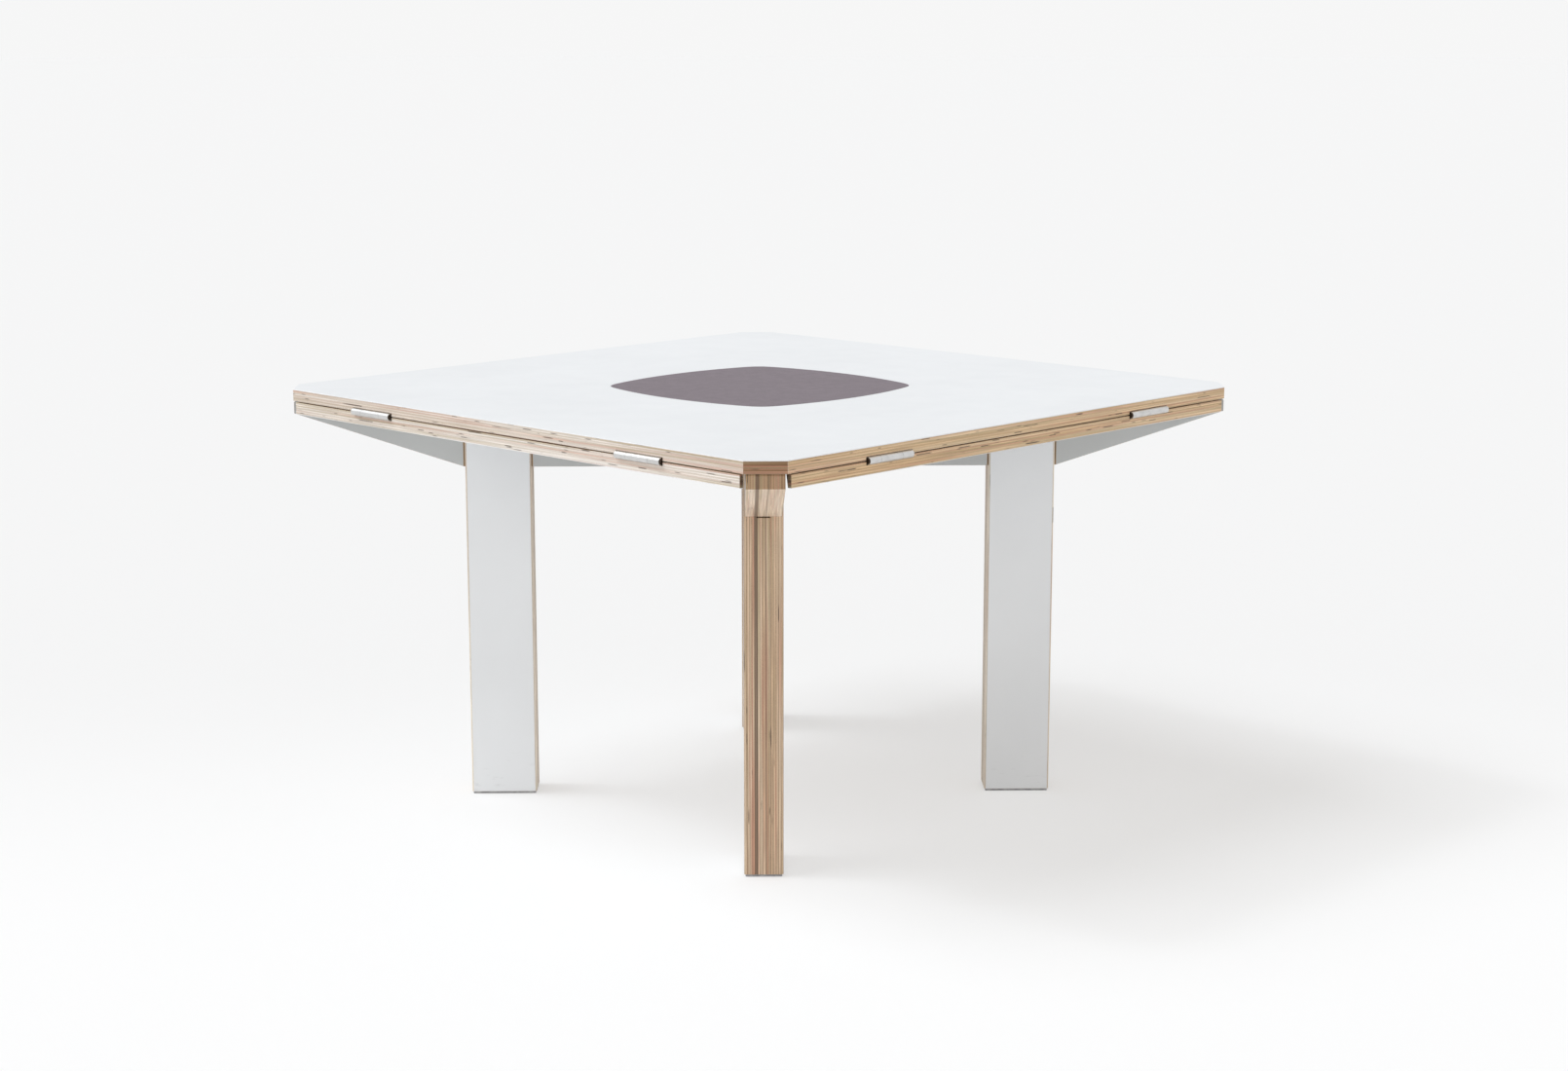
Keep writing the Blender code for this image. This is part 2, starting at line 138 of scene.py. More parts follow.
def ease(shape, width, wanted=lambda edge: True):
    """Rounds over the sharp edges of a shape."""
    sharp = [
        edge
        for edge in shape.edges
        if len(edge.link_faces) == 2
        and edge.calc_face_angle() > SHARP
        and wanted(edge)
    ]
    bmesh.ops.bevel(
        shape, geom=sharp, offset=width, segments=2, profile=0.5, affect="EDGES", clamp_overlap=True
    )


def piece(name, shape, finishes, body, slot, *nodes):
    """A finished piece of the table on one of its bodies, in the place of its solids."""
    if isinstance(shape, bmesh.types.BMesh):
        mesh = bpy.data.meshes.new(name)
        shape.to_mesh(mesh)
        shape.free()
    else:
        mesh = shape
        mesh.name = name
        mesh.materials.clear()
    for finish in finishes:
        mesh.materials.append(finish)
    made = bpy.data.objects.new(name, mesh)
    bpy.context.scene.collection.objects.link(made)
    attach(made, body)
    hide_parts(*nodes)


FELT = grey_felt()
for corner in LEG_RAIL:
    pad = taken_from(f"foot_pad_{corner}")
    ease(pad, PAD_EDGE)
    piece(f"felt_pad_{corner}", pad, [FELT], "frame", "foot_felt", f"foot_pad_{corner}")


# Leg cores: the middle board of each leg, birch plywood cut square, standing under the rail.
# Only its edges show, as a band of plies between the two cheeks that are glued to it, and a
# hair of shadow is left where its top meets the sloping underside of the arm.
PLY = 0.0021
UNEVEN = 1.7
BOARD_EDGE = 0.0003
RAIL_TURN = {"a": math.radians(45), "b": math.radians(135)}
NEAR = 0.0001
# Each dark band across the rail's boards: where it starts and ends across the rail, and how dark it
# is.
DARK_BANDS = ((0.0088, 0.0152, 0.72), (-0.0060, -0.0024, 0.34))
DARK_FADE = 0.0008
KNOTS_OFF_DARK = (0.001, 0.003)
DARK_BAND = (0.095, 0.052, 0.030, 1)
GLUE = (0.16, 0.095, 0.05, 1)
VOID = (0.05, 0.03, 0.018, 1)
RED_HEART = (0.52, 0.27, 0.185, 1)
OLIVE_SAP = (0.43, 0.345, 0.20, 1)
HEART = 0.52
LEG_HEART = {"a": 0.35, "b": 0.70}
KNOT_FADE = 0.06
LEG_KNOTS = {"closeness": 15.0, "least": 0.68}
# The legs on rail a show their edges from the side, and their copy of the birch is painted paler
# and greyer: painted light on those edges.
LEG_PLIES = {
    "a": ((0.80, 0.72, 0.62, 1), (0.62, 0.54, 0.45, 1)),
    "b": ((0.685, 0.525, 0.375, 1), (0.41, 0.29, 0.19, 1)),
}
CORE_GAP = 0.0018


def shaded(tree, colour, shade):
    """A colour made lighter or darker by one number."""
    grey = put(tree, "CombineColor", {0: shade, 1: shade, 2: shade}).outputs[0]
    return tint(tree, 1.0, colour, grey, "MULTIPLY")


def birch_plies(name, plies, turn=None, knotty=0.85, knots=LEG_KNOTS, heart=HEART):
    """Birch plywood seen on its edge: pale long-grain plies between darker end-grain ones.

    The plies are stacked upwards, or for a board of a turned rail across that rail. Heart is how
    far red heartwood and olive sapwood colour them, and knotty how dark the knots are.
    """
    made, tree, shader, place = new_finish(name)
    if turn is not None:
        local = put(tree, "Mapping", {"Vector": place, "Rotation": (0, 0, -turn)}).outputs[0]
        axis = put(tree, "SeparateXYZ", {0: local}).outputs
        place = put(tree, "CombineXYZ", {0: axis[0], 1: axis[2], 2: axis[1]}).outputs[0]
    depth = put(tree, "SeparateXYZ", {0: place}).outputs[2]
    uneven = patches(tree, drawn_out(tree, place, 0.7, 0.7, 150), 1.0, 1.0)
    layer = reckon(tree, "MULTIPLY_ADD", uneven, UNEVEN, reckon(tree, "DIVIDE", depth, PLY))
    number = reckon(tree, "FLOOR", layer)
    within = reckon(tree, "FRACT", layer)
    odd = reckon(tree, "FLOORED_MODULO", number, 2.0)

    def along_ply(size, detail, apart):
        """Patches that run along one ply and differ from ply to ply."""
        own = reckon(tree, "MULTIPLY", number, apart)
        own = put(tree, "CombineXYZ", {0: 0.0, 1: 0.0, 2: own}).outputs[0]
        flat = drawn_out(tree, place, size, size, 0)
        spot = put(tree, "VectorMath", {0: flat, 1: own}, operation="ADD").outputs[0]
        return patches(tree, spot, 1.0, detail)

    streaks = patches(tree, drawn_out(tree, place, 14, 14, 1500), 1.0, 5.0)
    specks = patches(tree, drawn_out(tree, place, 1500, 1500, 1900), 1.0, 2.0)
    grain = tint(tree, odd, streaks, specks)
    tone = along_ply(3.0, 2.0, 5.77)
    cast = along_ply(2.2, 1.0, 3.19)
    pale, dark = plies
    colour = tint(tree, odd, pale, dark)
    colour = tint(tree, ramp(tree, tone, 0.35, 0.65, 0.0, 0.7), colour, tint(tree, 0.4, pale, dark))
    colour = tint(tree, ramp(tree, cast, 0.53, 0.69, 0.0, heart), colour, RED_HEART)
    colour = tint(tree, ramp(tree, cast, 0.31, 0.47, heart, 0.0), colour, OLIVE_SAP)
    colour = shaded(tree, colour, ramp(tree, grain, 0.25, 0.75, 0.74, 1.20))

    broad = patches(tree, drawn_out(tree, place, 1.6, 1.6, 120), 1.0, 2.0)
    colour = tint(tree, ramp(tree, broad, 0.35, 0.70, 0.0, 0.45), colour, GLUE, "SOFT_LIGHT")
    seam = reckon(tree, "ABSOLUTE", reckon(tree, "SUBTRACT", within, 0.5))
    colour = tint(tree, ramp(tree, seam, 0.43, 0.5, 0.0, 0.34), colour, GLUE)

    middle = ramp(tree, seam, 0.16, 0.44, 1.0, 0.0)
    for first, last, share in DARK_BANDS if turn is not None else ():
        half = (last - first) / 2
        aside = reckon(tree, "ABSOLUTE", reckon(tree, "SUBTRACT", depth, first + half))
        colour = tint(tree, ramp(tree, aside, half - DARK_FADE, half, share, 0.0), colour, DARK_BAND)
        clear = ramp(tree, aside, *(half + room for room in KNOTS_OFF_DARK))
        middle = reckon(tree, "MULTIPLY", middle, clear)
    spots = along_ply(knots["closeness"], 1.0, 6.43)
    least = knots["least"]
    hollow = reckon(tree, "MULTIPLY", ramp(tree, spots, least, least + KNOT_FADE), middle)
    colour = tint(tree, reckon(tree, "MULTIPLY", hollow, knotty), colour, VOID)

    rough = ramp(tree, grain, 0.2, 0.8, 0.46, 0.66)
    relief = reckon(tree, "MULTIPLY_ADD", hollow, -1.5, reckon(tree, "MULTIPLY", grain, odd))
    dress(tree, shader, colour, rough, relief, 0.0002, 0.5)
    return made


LEG_BIRCH = {}
for rail, turn in RAIL_TURN.items():
    plies, heart = LEG_PLIES[rail], LEG_HEART[rail]
    LEG_BIRCH[rail] = birch_plies(f"leg_plies_{rail}", plies, turn, heart=heart)
for corner, rail in LEG_RAIL.items():
    core = taken_from(f"leg_core_{corner}")
    core_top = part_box(f"leg_core_{corner}")[1].z
    for spot in core.verts:
        if spot.co.z > core_top - NEAR:
            spot.co.z -= CORE_GAP
    ease(core, BOARD_EDGE)
    piece(
        f"leg_middle_board_{corner}", core, [LEG_BIRCH[rail]], "frame", "birch_plywood",
        f"leg_core_{corner}",
    )


# Leg cheeks: the two outer boards of each leg, birch plywood faced with white laminate. They run
# up past the rail to the top, and their upright edges are planed to a small chamfer.
FACING = 0.0003
HAIR = 1e-6
WHITE_FACE = (0.777, 0.784, 0.791, 1)
WHITE_DULL = (0.737, 0.744, 0.751, 1)
SCUFF = (0.55, 0.55, 0.55, 1)
SCUFF_HEIGHT = 0.10


def laminate(name, face, dull, scuffed=False):
    """A satin laminate face: an even colour, a fine pebbled texture and a little handling wear."""
    made, tree, shader, place = new_finish(name)
    pebble = patches(tree, place, 900.0, 2.0)
    cast = patches(tree, place, 3.0, 3.0)
    smear = patches(tree, drawn_out(tree, place, 18, 18, 5), 1.0, 5.0)
    colour = tint(tree, ramp(tree, cast, 0.3, 0.7), face, dull)
    colour = tint(tree, ramp(tree, pebble, 0.45, 0.8, 0.0, 0.12), colour, dull)
    if scuffed:
        height = put(tree, "SeparateXYZ", {0: place}).outputs[2]
        marks = patches(tree, drawn_out(tree, place, 40, 40, 160), 1.0, 4.0)
        marks = ramp(tree, marks, 0.60, 0.72, 0.0, 0.35)
        low = ramp(tree, height, 0.0, SCUFF_HEIGHT, 1.0, 0.0)
        colour = tint(tree, reckon(tree, "MULTIPLY", marks, low), colour, SCUFF)
    rough = ramp(tree, smear, 0.3, 0.75, 0.36, 0.50)
    dress(tree, shader, colour, rough, pebble, 0.00004, 0.35)
    shader.inputs["IOR"].default_value = 1.45
    return made


def lay_facing(shape, across):
    """Gives a board's outermost faces and the thin edge of their sheet its second finish."""
    reach = max(abs(corner.co.dot(across)) for corner in shape.verts) - FACING
    for side in (-1, 1):
        everything = [*shape.verts, *shape.edges, *shape.faces]
        place = across * side * reach
        bmesh.ops.bisect_plane(shape, geom=everything, dist=HAIR, plane_co=place, plane_no=across)
    for face in shape.faces:
        if abs(face.calc_center_median().dot(across)) > reach:
            face.material_index = 1


ACROSS = {rail: Vector((-math.sin(turn), math.cos(turn), 0)) for rail, turn in RAIL_TURN.items()}
LEG_WHITE = laminate("white_leg_laminate", WHITE_FACE, WHITE_DULL, scuffed=True)
for corner, rail in LEG_RAIL.items():
    for n in (1, 2):
        node = f"leg_cheek_{corner}_{n}"
        cheek = taken_from(node)
        lay_facing(cheek, ACROSS[rail])
        ease(cheek, BOARD_EDGE)
        finishes = [LEG_BIRCH[rail], LEG_WHITE]
        piece(f"leg_faced_board_{corner}_{n}", cheek, finishes, "frame", "white_faced_board", node)


# Cross rails: two beams of three glued boards that cross in a half-lap under the top. Their arms
# taper out to the corners. The sides are faced with grey laminate, the other edges are bare birch.
GREY_FACE = (0.49, 0.495, 0.485, 1)
GREY_DULL = (0.455, 0.46, 0.45, 1)
ARM_END_PLIES = ((0.45, 0.30, 0.17, 1), (0.31, 0.195, 0.105, 1))
ARM_UNDER_PLIES = ((0.84, 0.70, 0.56, 1), (0.77, 0.62, 0.48, 1))
ARM_LIP = 0.003
UNDERSIDE = -0.5


def bare_underneath(shape):
    """Gives the underside of a rail's board its third finish."""
    for face in shape.faces:
        if face.normal.z < UNDERSIDE:
            face.material_index = 2


RAIL_GREY = laminate("grey_rail_laminate", GREY_FACE, GREY_DULL)
for rail, turn in RAIL_TURN.items():
    along = Vector((math.cos(turn), math.sin(turn), 0))
    end_birch = birch_plies(f"arm_end_plies_{rail}", ARM_END_PLIES, turn)
    under_birch = birch_plies(f"arm_under_plies_{rail}", ARM_UNDER_PLIES, turn, knotty=0.3)
    finishes = [end_birch, RAIL_GREY, under_birch]
    beam = taken_from(f"cross_rail_{rail}")
    bare_underneath(beam)
    tip = max(corner.co.dot(along) for corner in beam.verts)
    level = max(corner.co.z for corner in beam.verts)
    lip = []
    for edge in beam.edges:
        outermost = min(abs(corner.co.dot(along)) for corner in edge.verts)
        lowest = min(corner.co.z for corner in edge.verts)
        if lowest > level - NEAR and outermost > tip - NEAR:
            lip.append(edge)
    bmesh.ops.bevel(beam, geom=lip, offset=ARM_LIP, segments=1, affect="EDGES")
    lay_facing(beam, ACROSS[rail])
    ease(beam, BOARD_EDGE)
    node = f"cross_rail_{rail}"
    piece(f"crossing_beam_{rail}", beam, finishes, "frame", "grey_faced_board", node)
    for n in (1, 2):
        node = f"rail_cheek_{rail}{n}"
        cheek = taken_from(node)
        bare_underneath(cheek)
        lay_facing(cheek, ACROSS[rail])
        ease(cheek, BOARD_EDGE)
        piece(f"rail_faced_board_{rail}{n}", cheek, finishes, "frame", "grey_faced_board", node)


# Pivot: a zinc-plated bolt through the top and the crossing of the rails, with a wide washer and
# a chamfered hexagon nut pulled up under them. Only the nut and the bolt's end show, from below.
ROUND = 48
BOLT_EDGE = 0.0006
BOLT_SHANK, BOLT_HEAD = 0.006, 0.005
THREAD_PITCH, THREAD_DEPTH = 0.00175, 0.0009
BOLT_TIP = 0.001
NUT_CHAMFER, NUT_SPARE = 0.0016, 0.0005
ZINC = (0.60, 0.61, 0.62, 1)
ZINC_DULL = (0.44, 0.45, 0.46, 1)


def brushed(name, bright, dull, along, smooth, rough):
    """Brushed plated steel: fine lines along the piece, with duller patches between them."""
    made, tree, shader, place = new_finish(name)
    lines = patches(tree, drawn_out(tree, place, *along), 1.0, 6.0)
    worn = patches(tree, place, 90.0, 4.0)
    share = reckon(tree, "MULTIPLY", ramp(tree, lines, 0.3, 0.75), ramp(tree, worn, 0.25, 0.7))
    colour = tint(tree, share, bright, dull)
    dress(tree, shader, colour, ramp(tree, worn, 0.2, 0.8, smooth, rough), lines, 0.00003, 0.4)
    shader.inputs["Metallic"].default_value = 1.0
    return made


def turned(profile):
    """A shape turned about the upright axis from (radius, height) points that end on the axis."""
    shape = bmesh.new()
    corners = [shape.verts.new((radius, 0, height)) for radius, height in profile]
    edges = [shape.edges.new(pair) for pair in zip(corners, corners[1:])]
    bmesh.ops.spin(
        shape, geom=corners + edges, cent=(0, 0, 0), axis=(0, 0, 1), angle=2 * math.pi, steps=ROUND
    )
    bmesh.ops.remove_doubles(shape, verts=shape.verts, dist=HAIR)
    bmesh.ops.recalc_face_normals(shape, faces=shape.faces)
    return shape


def as_mesh(shape):
    """A shape kept as a mesh."""
    mesh = bpy.data.meshes.new("shape")
    shape.to_mesh(mesh)
    shape.free()
    return mesh


def carved(start, *steps):
    """A mesh that is joined with, cut by or kept within other meshes, one after the other."""
    stock = bpy.data.objects.new("stock", start)
    bpy.context.scene.collection.objects.link(stock)
    tools = []
    for way, mesh in steps:
        tool = bpy.data.objects.new("tool", mesh)
        bpy.context.scene.collection.objects.link(tool)
        step = stock.modifiers.new("step", "BOOLEAN")
        step.operation = way
        step.object = tool
        tools.append(tool)
    bpy.context.view_layer.update()
    graph = bpy.context.evaluated_depsgraph_get()
    mesh = bpy.data.meshes.new_from_object(stock.evaluated_get(graph))
    for used in [stock, *tools]:
        bpy.data.objects.remove(used)
    return mesh


def smooth(mesh, angle=35):
    """Round faces shaded smooth, with the real edges kept sharp."""
    mesh.shade_smooth()
    mesh.set_sharp_from_angle(angle=math.radians(angle))
    return mesh


def rounded_disc(radius, low, high, edge):
    """The profile of a disc with eased rims, from its top to its bottom."""
    return [
        (0, high), (radius - edge, high), (radius, high - edge),
        (radius, low + edge), (radius - edge, low), (0, low),
    ]


ZINCED = brushed("zinc_plated_steel", ZINC, ZINC_DULL, (300, 300, 60), 0.28, 0.5)
low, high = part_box("pivot_bolt")
thread_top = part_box("pivot_nut")[1].z
head_under = high.z - BOLT_HEAD
profile = rounded_disc(high.x, head_under, high.z, BOLT_EDGE)[:-1] + [(BOLT_SHANK, head_under)]
turns = int((thread_top - low.z) / THREAD_PITCH)
for i in range(turns):
    root = thread_top - i * THREAD_PITCH
    profile += [(BOLT_SHANK, root), (BOLT_SHANK - THREAD_DEPTH, root - THREAD_PITCH / 2)]
profile += [(BOLT_SHANK - BOLT_TIP, low.z), (0, low.z)]
bolt = smooth(as_mesh(turned(profile)))
piece("centre_bolt", bolt, [ZINCED], "frame", "hinge_steel", "pivot_bolt")

low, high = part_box("pivot_washer")
washer = turned(rounded_disc(high.x, low.z, high.z, BOLT_EDGE))
piece("centre_washer", smooth(as_mesh(washer)), [ZINCED], "frame", "hinge_steel", "pivot_washer")

low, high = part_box("pivot_nut")
hexagon = bmesh.new()
bmesh.ops.create_cone(
    hexagon, cap_ends=True, segments=6, radius1=high.x, radius2=high.x, depth=high.z - low.z
)
bmesh.ops.translate(hexagon, verts=hexagon.verts, vec=(0, 0, (low.z + high.z) / 2))
crown = turned(rounded_disc(high.x, low.z - NUT_SPARE, high.z + NUT_SPARE, NUT_CHAMFER))
nut = carved(as_mesh(hexagon), ("INTERSECT", as_mesh(crown)))
piece("centre_nut", smooth(nut, angle=20), [ZINCED], "frame", "hinge_steel", "pivot_nut")


# Top panel: one square of birch plywood with its corners cut off across the diagonals, pocketed
# underneath for the hinges and the magnets. It lies on the rails and the pivot bolt holds it there.
RIM_NEAR = 0.0005
CUT_AREA = 0.0008
EDGE_KNOTS = {"closeness": 22.0, "least": 0.645}
# The front and back edges take birch painted paler and cooler, and the side edges birch painted
# warmer: painted light and painted shade for edges that face towards and away from the light.
LIT_TONE_PLIES = ((0.73, 0.658, 0.59, 1), (0.60, 0.515, 0.43, 1))
SHADE_TONE_PLIES = ((0.76, 0.57, 0.366, 1), (0.575, 0.41, 0.243, 1))
CUT_PLIES = ((0.30, 0.163, 0.072, 1), (0.215, 0.114, 0.046, 1))
VENEER_PALE = (0.69, 0.53, 0.37, 1)
VENEER_DARK = (0.62, 0.45, 0.295, 1)
PORE = (0.36, 0.23, 0.13, 1)


def birch_veneer(name, turn=0.0):
    """The rotary-cut face of birch plywood: wide wavy figure, fine lines and short dark pores."""
    made, tree, shader, place = new_finish(name)
    local = put(tree, "Mapping", {"Vector": place, "Rotation": (0, 0, -turn)}).outputs[0]
    bend = patches(tree, drawn_out(tree, local, 1.2, 4.5, 4.5), 1.0, 3.0)
    figure = reckon(tree, "FRACT", reckon(tree, "MULTIPLY", bend, 15.0))
    figure = reckon(tree, "PINGPONG", figure, 0.5)
    lines = patches(tree, drawn_out(tree, local, 12, 420, 420), 1.0, 5.0)
    pores = patches(tree, drawn_out(tree, local, 90, 1400, 1400), 1.0, 2.0)
    colour = tint(tree, ramp(tree, figure, 0.05, 0.45), VENEER_PALE, VENEER_DARK)
    colour = tint(tree, ramp(tree, lines, 0.35, 0.8, 0.0, 0.45), colour, VENEER_DARK)
    colour = tint(tree, ramp(tree, pores, 0.66, 0.74, 0.0, 0.6), colour, PORE)
    dress(tree, shader, colour, ramp(tree, lines, 0.2, 0.8, 0.45, 0.6), lines, 0.0001, 0.4)
    return made


LIT_TONE_BIRCH = birch_plies("lit_tone_edge_plies", LIT_TONE_PLIES, knots=EDGE_KNOTS)
SHADE_TONE_BIRCH = birch_plies("shade_tone_edge_plies", SHADE_TONE_PLIES, knots=EDGE_KNOTS)
CUT_BIRCH = birch_plies("cut_corner_plies", CUT_PLIES)
UNDER_BIRCH = birch_veneer("top_underside_veneer")
panel = taken_from("top_panel")
for face in panel.faces:
    if abs(face.normal.z) > 0.7:
        face.material_index = 2
    elif min(abs(face.normal.x), abs(face.normal.y)) > 0.6 and face.calc_area() > CUT_AREA:
        face.material_index = 1
    elif abs(face.normal.x) > 0.7:
        face.material_index = 3
panel_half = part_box("top_panel")[1].x


def on_outline(edge):
    """True for an edge that lies wholly on the outside of the panel."""
    return all(
        max(abs(corner.co.x), abs(corner.co.y)) > panel_half - RIM_NEAR for corner in edge.verts
    )


ease(panel, BOARD_EDGE, on_outline)
finishes = [LIT_TONE_BIRCH, CUT_BIRCH, UNDER_BIRCH, SHADE_TONE_BIRCH]
piece("top_plywood_panel", panel, finishes, "frame", "birch_plywood", "top_panel")


# Top laminate and centre inlay: a sheet of white laminate covers the panel, with an opening like
# a square with bulging sides, and a dark matt sheet of the same outline is let flush into it.
INLAY_RISE, INLAY_ROUNDING = 0.032, 0.2
INLAY_GAP = 0.0003
INLAY_POINTS = 240
SHEET_EDGE = 0.0004
TOP_WHITE_FACE = (0.812, 0.818, 0.826, 1)
TOP_WHITE_DULL = (0.787, 0.793, 0.801, 1)
INLAY_DARK = (0.128, 0.096, 0.115, 1)
INLAY_PALE = (0.150, 0.116, 0.135, 1)


def new_shape_tree(name, **inputs):
    """An empty tree of shape nodes, with the named inputs, and each input's identifier."""
    tree = bpy.data.node_groups.new(name, "GeometryNodeTree")
    names = {}
    for label, kind in inputs.items():
        made = tree.interface.new_socket(
            label.replace("_", " "), in_out="INPUT", socket_type="NodeSocket" + kind
        )
        names[label] = made.identifier
    tree.interface.new_socket("Result", in_out="OUTPUT", socket_type="NodeSocketGeometry")
    given = tree.nodes.new("NodeGroupInput").outputs
    return tree, names, {label: given[i] for i, label in enumerate(inputs)}


def shape_node(tree, kind, inputs=(), **settings):
    """A node of a shape tree, each input set to a value or wired to one or several results."""
    made = tree.nodes.new(kind)
    for key, value in settings.items():
        setattr(made, key, value)
    for key, value in dict(inputs).items():
        for one in value if isinstance(value, list) else [value]:
            if isinstance(one, bpy.types.NodeSocket):
                tree.links.new(one, made.inputs[key])
            else:
                made.inputs[key].default_value = one
    return made


def close_tree(tree, geometry, finish):
    """Ends a shape tree: real geometry with the given finish."""
    real = shape_node(tree, "GeometryNodeRealizeInstances", {0: geometry})
    painted = shape_node(
        tree, "GeometryNodeSetMaterial", {"Geometry": real.outputs[0], "Material": finish}
    )
    tree.links.new(painted.outputs[0], tree.nodes.new("NodeGroupOutput").inputs[0])


def grown(tree, names, start, **values):
    """The plain mesh that a shape tree makes from a starting mesh and its input values."""
    seed = bpy.data.objects.new("seed", start)
    bpy.context.scene.collection.objects.link(seed)
    step = seed.modifiers.new("grow", "NODES")
    step.node_group = tree
    for label, value in values.items():
        step[names[label]] = value
    bpy.context.view_layer.update()
    graph = bpy.context.evaluated_depsgraph_get()
    mesh = bpy.data.meshes.new_from_object(seed.evaluated_get(graph))
    seed.modifiers.clear()
    bpy.data.objects.remove(seed)
    return mesh


def bulged_sheet_tree():
    """A flat sheet in the bulging outline or, from a given outer outline, with that opening.

    Each side is an arc with the given rise, and the corners between the arcs are rounded.
    """
    tree, names, given = new_shape_tree(
        "bulged_sheet", Outline="Geometry", Half_width="Float", Rise="Float", Rounding="Float",
        Under="Float", Thickness="Float", Finish="Material",
    )

    def maths(operation, *values):
        return shape_node(tree, "ShaderNodeMath", enumerate(values), operation=operation).outputs[0]

    ring = shape_node(
        tree, "GeometryNodeCurvePrimitiveCircle", {"Resolution": INLAY_POINTS, "Radius": 1.0}
    )
    where = shape_node(tree, "GeometryNodeInputPosition").outputs[0]
    axis = shape_node(tree, "ShaderNodeSeparateXYZ", {0: where}).outputs
    half, rise = given["Half_width"], given["Rise"]
    short = maths("SUBTRACT", half, rise)
    arc = maths("MULTIPLY_ADD", short, short, maths("MULTIPLY", rise, rise))
    arc = maths("DIVIDE", arc, maths("MULTIPLY", rise, 2.0))
    centre = maths("SUBTRACT", half, arc)
    sideways = [maths("ABSOLUTE", axis[i]) for i in (0, 1)]
    out = maths("SMOOTH_MAX", *sideways, given["Rounding"])
    aside = maths("SUBTRACT", maths("MULTIPLY", out, out), 1.0)
    square = maths("MULTIPLY", maths("MULTIPLY", centre, centre), aside)
    square = maths("MULTIPLY_ADD", arc, arc, square)
    reach = maths("MULTIPLY_ADD", centre, out, maths("SQRT", square))
    spot = [maths("MULTIPLY", axis[i], reach) for i in (0, 1)]
    spot = shape_node(tree, "ShaderNodeCombineXYZ", {0: spot[0], 1: spot[1]})
    bulge = shape_node(
        tree, "GeometryNodeSetPosition", {"Geometry": ring.outputs[0], "Position": spot.outputs[0]}
    )
    outer = shape_node(tree, "GeometryNodeMeshToCurve", {0: given["Outline"]})
    both = shape_node(
        tree, "GeometryNodeJoinGeometry", {0: [bulge.outputs[0], outer.outputs[0]]}
    )
    sheet = shape_node(tree, "GeometryNodeFillCurve", {0: both.outputs[0]})
    lift = shape_node(tree, "ShaderNodeCombineXYZ", {2: given["Under"]})
    sheet = shape_node(
        tree, "GeometryNodeTransform",
        {"Geometry": sheet.outputs[0], "Translation": lift.outputs[0]},
    )
    thick = shape_node(
        tree, "GeometryNodeExtrudeMesh",
        {"Mesh": sheet.outputs[0], "Offset": (0, 0, 1), "Offset Scale": given["Thickness"],
         "Individual": False},
    )
    under = shape_node(tree, "GeometryNodeFlipFaces", {0: sheet.outputs[0]})
    whole = shape_node(tree, "GeometryNodeJoinGeometry", {0: [thick.outputs[0], under.outputs[0]]})
    whole = shape_node(
        tree, "GeometryNodeMergeByDistance", {"Geometry": whole.outputs[0], "Distance": MERGE}
    )
    close_tree(tree, whole.outputs[0], given["Finish"])
    return tree, names


def eased_sheet(mesh, top):
    """A sheet with the rim of its upper face eased."""
    shape = bmesh.new()
    shape.from_mesh(mesh)
    bmesh.ops.recalc_face_normals(shape, faces=shape.faces)
    ease(shape, SHEET_EDGE, lambda edge: all(corner.co.z > top - NEAR for corner in edge.verts))
    return shape


def dark_inlay():
    """A dark matt sheet, mottled in two close tones with a fine leathery texture."""
    made, tree, shader, place = new_finish("dark_inlay_sheet")
    mottle = patches(tree, place, 70.0, 6.0)
    fleck = patches(tree, drawn_out(tree, place, 420, 300, 300), 1.0, 3.0)
    leather = patches(tree, place, 1300.0, 3.0)
    colour = tint(tree, ramp(tree, mottle, 0.3, 0.7), INLAY_DARK, INLAY_PALE)
    colour = tint(tree, ramp(tree, fleck, 0.55, 0.75, 0.0, 0.35), colour, INLAY_PALE)
    dress(tree, shader, colour, ramp(tree, leather, 0.2, 0.8, 0.48, 0.64), leather, 0.00005, 0.4)
    return made


sheet_tree, sheet_names = bulged_sheet_tree()
inlay_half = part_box("centre_inlay")[1].x
top_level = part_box("top_laminate")[1].z
panel_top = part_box("top_panel")[1].z
TOP_WHITE = laminate("white_top_laminate", TOP_WHITE_FACE, TOP_WHITE_DULL)
sheet_corners = {
    (round(corner.co.x, 5), round(corner.co.y, 5))
    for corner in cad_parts["top_laminate"].data.vertices
    if max(abs(corner.co.x), abs(corner.co.y)) > panel_half - NEAR
}
rim = bmesh.new()
for x, y in sorted(sheet_corners, key=lambda spot: math.atan2(spot[1], spot[0])):
    rim.verts.new((x, y, 0))
rim.verts.ensure_lookup_table()
for i in range(len(rim.verts)):
    rim.edges.new((rim.verts[i - 1], rim.verts[i]))
white_sheet = grown(
    sheet_tree, sheet_names, as_mesh(rim), Half_width=inlay_half + INLAY_GAP, Rise=INLAY_RISE,
    Rounding=INLAY_ROUNDING, Under=panel_top, Thickness=top_level - panel_top, Finish=TOP_WHITE,
)
white_sheet = eased_sheet(white_sheet, top_level)
piece("top_white_sheet", white_sheet, [TOP_WHITE], "frame", "white_laminate", "top_laminate")

DARK = dark_inlay()
inlay_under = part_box("centre_inlay")[0].z
dark_sheet = grown(
    sheet_tree, sheet_names, bpy.data.meshes.new("nothing"), Half_width=inlay_half, Rise=INLAY_RISE,
    Rounding=INLAY_ROUNDING, Under=inlay_under, Thickness=top_level - inlay_under, Finish=DARK,
)
dark_sheet = eased_sheet(dark_sheet, top_level)
piece("centre_dark_sheet", dark_sheet, [DARK], "frame", "dark_inlay", "centre_inlay")


